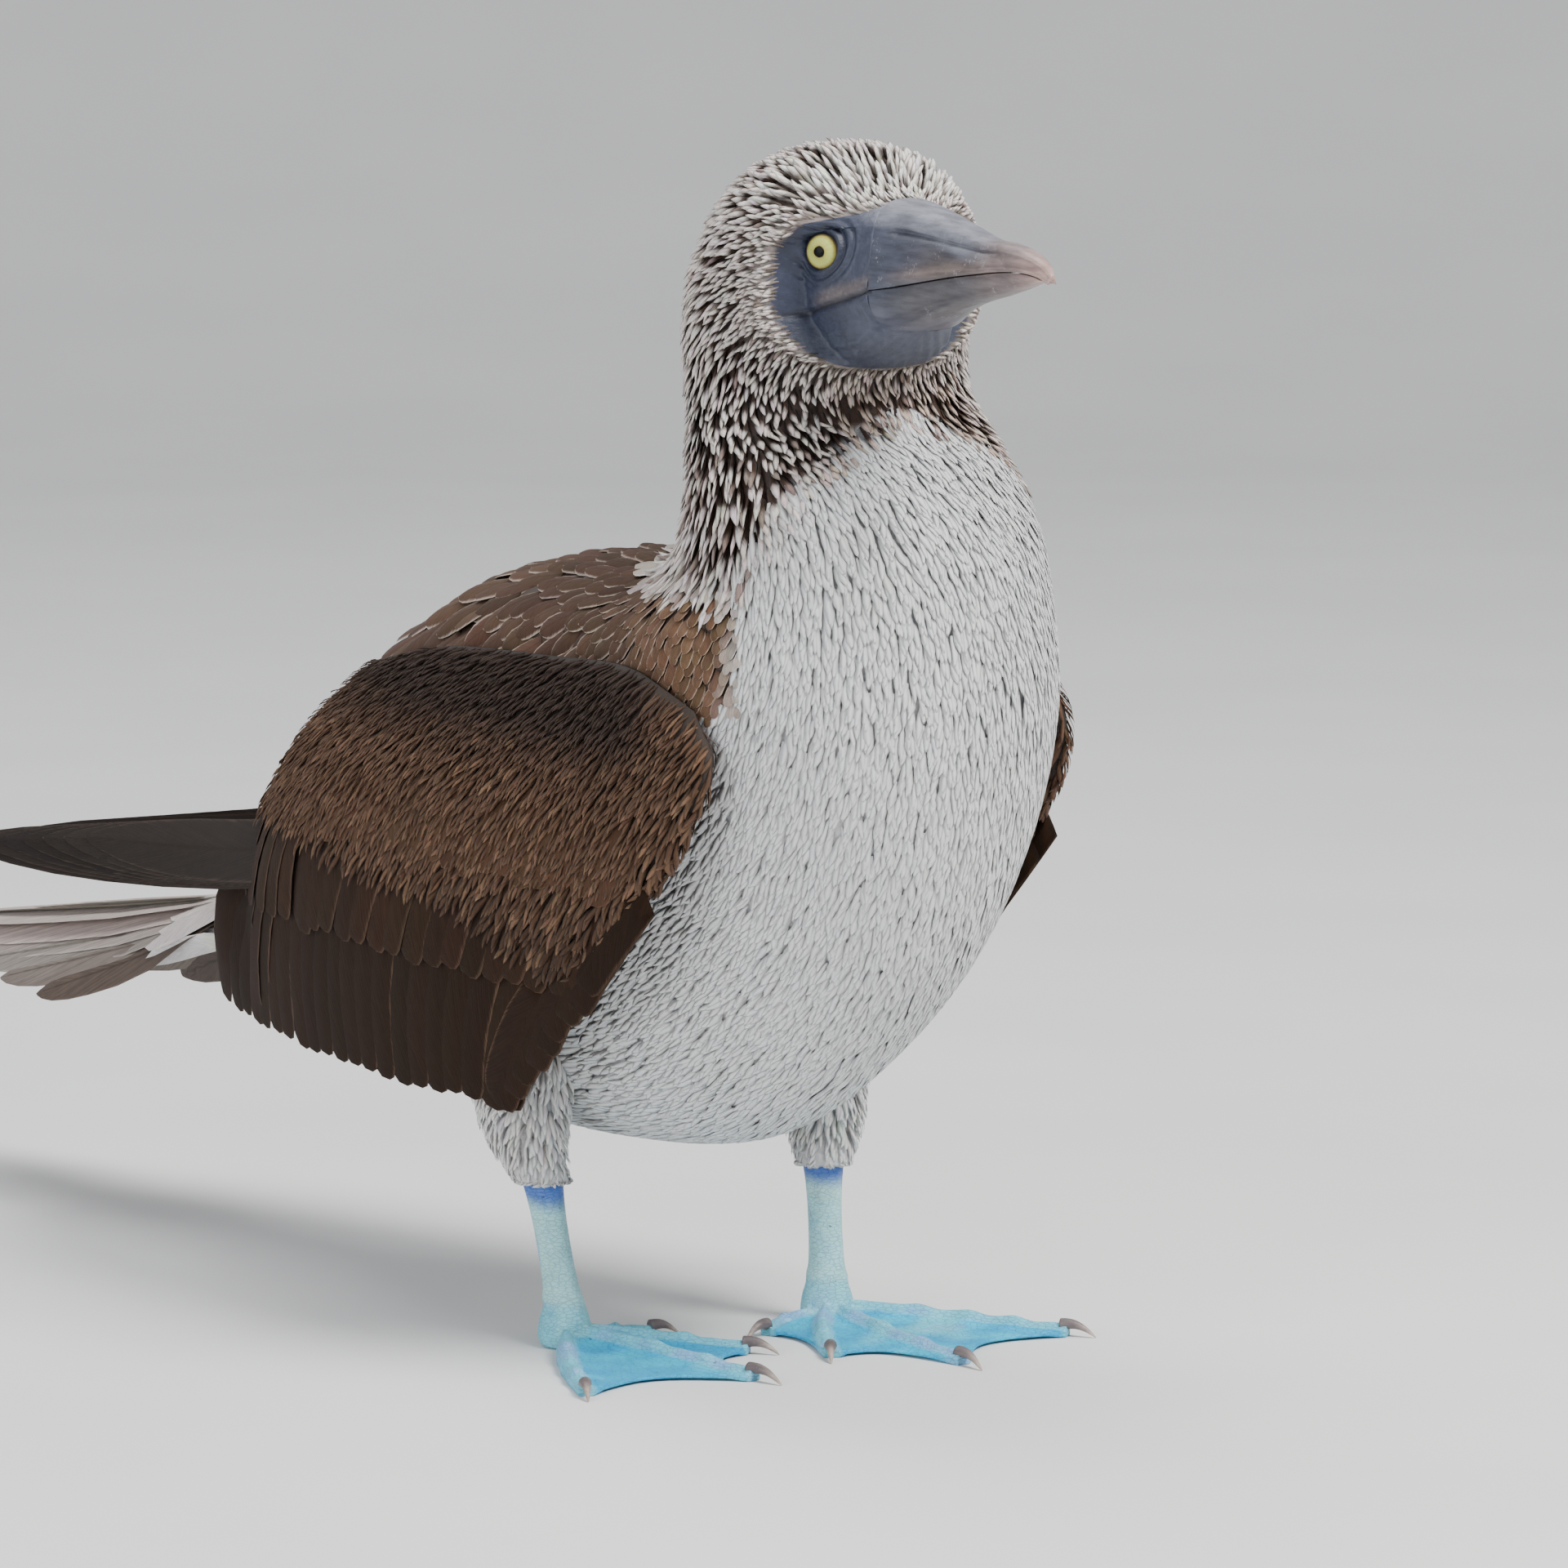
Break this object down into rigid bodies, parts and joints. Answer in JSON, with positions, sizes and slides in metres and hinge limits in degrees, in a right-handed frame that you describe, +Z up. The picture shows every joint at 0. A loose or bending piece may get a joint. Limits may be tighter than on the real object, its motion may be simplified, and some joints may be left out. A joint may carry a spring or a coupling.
{
  "type": "blue footed booby museum model",
  "caption": "Life-size standing seabird with a long tapered bill, folded layered wings, a pointed tail and broad webbed feet.",
  "frame": {"origin": "on the floor, under the middle of the whole bird's length and width", "axes": "+Z up, the body faces -Y with the tail towards +Y, the bird's left is +X"},
  "size_m": [0.182, 0.6132, 0.3724],
  "materials": {
    "plumage_white": "soft white body feathers",
    "plumage_streaked": "narrow pale-tipped brown feathers",
    "plumage_brown": "dark brown wing feathers",
    "plumage_tail": "grey and brown tail feathers",
    "bill_horn": "satin slate blue horn",
    "iris_yellow": "wet gloss, pale yellow iris and dark pupil",
    "skin_blue": "satin turquoise skin",
    "claw_horn": "satin grey-brown horn"
  },
  "bodies": {
    "root": {"bill_lower": "bill_horn", "bill_upper": "bill_horn", "claw_hallux_left": "claw_horn", "claw_hallux_right": "claw_horn", "claw_inner_left": "claw_horn", "claw_inner_right": "claw_horn", "claw_middle_left": "claw_horn", "claw_middle_right": "claw_horn", "claw_outer_left": "claw_horn", "claw_outer_right": "claw_horn", "eye_left": "iris_yellow", "eye_right": "iris_yellow", "foot_left": "skin_blue", "foot_right": "skin_blue", "head": "plumage_streaked", "leg_left": "skin_blue", "leg_right": "skin_blue", "neck": "plumage_streaked", "tail": "plumage_tail", "thigh_left": "plumage_white", "thigh_right": "plumage_white", "torso": "plumage_white", "wing_left": "plumage_brown", "wing_right": "plumage_brown"}
  },
  "joints": []
}
